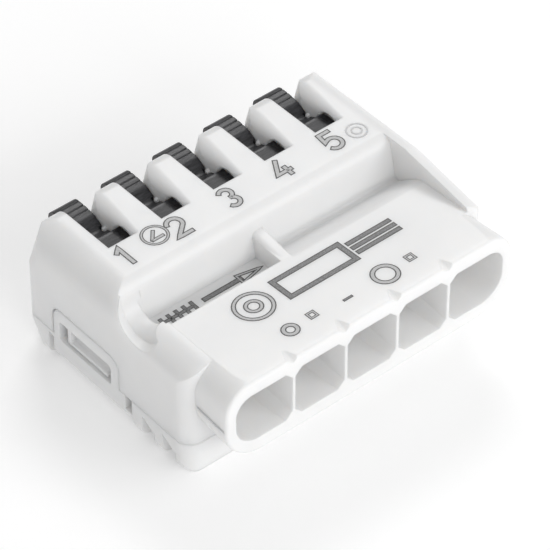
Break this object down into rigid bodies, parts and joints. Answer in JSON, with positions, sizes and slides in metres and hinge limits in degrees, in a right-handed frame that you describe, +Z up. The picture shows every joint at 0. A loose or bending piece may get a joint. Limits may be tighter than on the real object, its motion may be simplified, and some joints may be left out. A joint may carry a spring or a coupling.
{
  "type": "lever wire connector",
  "caption": "Compact white splicing connector with a row of funnel wire entries and dark pull-up levers that open spring clamps on a shared busbar.",
  "frame": {"origin": "centre of the connector's footprint, on the underside of the base cover", "axes": "+X along the row of wire entries, the entries face -Y, the levers are at the +Y end, +Z up"},
  "size_m": [0.0302, 0.0254, 0.0123],
  "materials": {
    "white_plastic": "satin moulded",
    "grey_plastic": "satin moulded",
    "tinned_copper": "tin plated",
    "spring_steel": "bright rolled strip"
  },
  "bodies": {
    "shell": {"housing": "white_plastic", "base_cover": "white_plastic", "busbar": "tinned_copper", "clamp_spring_1": "spring_steel", "clamp_spring_2": "spring_steel", "clamp_spring_3": "spring_steel", "clamp_spring_4": "spring_steel", "clamp_spring_5": "spring_steel"},
    "lever_1": {"lever_1": "grey_plastic"},
    "lever_2": {"lever_2": "grey_plastic"},
    "lever_3": {"lever_3": "grey_plastic"},
    "lever_4": {"lever_4": "grey_plastic"},
    "lever_5": {"lever_5": "grey_plastic"}
  },
  "joints": [
    {"name": "lever_1_pivot", "type": "hinge", "parent": "shell", "child": "lever_1", "pos_m": [-0.0104, 0.0062, 0.01025], "axis": [1, 0, 0], "range_deg": [0, 90], "deforming": ["clamp_spring_1"]},
    {"name": "lever_2_pivot", "type": "hinge", "parent": "shell", "child": "lever_2", "pos_m": [-0.0052, 0.0062, 0.01025], "axis": [1, 0, 0], "range_deg": [0, 90], "deforming": ["clamp_spring_2"]},
    {"name": "lever_3_pivot", "type": "hinge", "parent": "shell", "child": "lever_3", "pos_m": [0, 0.0062, 0.01025], "axis": [1, 0, 0], "range_deg": [0, 90], "deforming": ["clamp_spring_3"]},
    {"name": "lever_4_pivot", "type": "hinge", "parent": "shell", "child": "lever_4", "pos_m": [0.0052, 0.0062, 0.01025], "axis": [1, 0, 0], "range_deg": [0, 90], "deforming": ["clamp_spring_4"]},
    {"name": "lever_5_pivot", "type": "hinge", "parent": "shell", "child": "lever_5", "pos_m": [0.0104, 0.0062, 0.01025], "axis": [1, 0, 0], "range_deg": [0, 90], "deforming": ["clamp_spring_5"]}
  ]
}
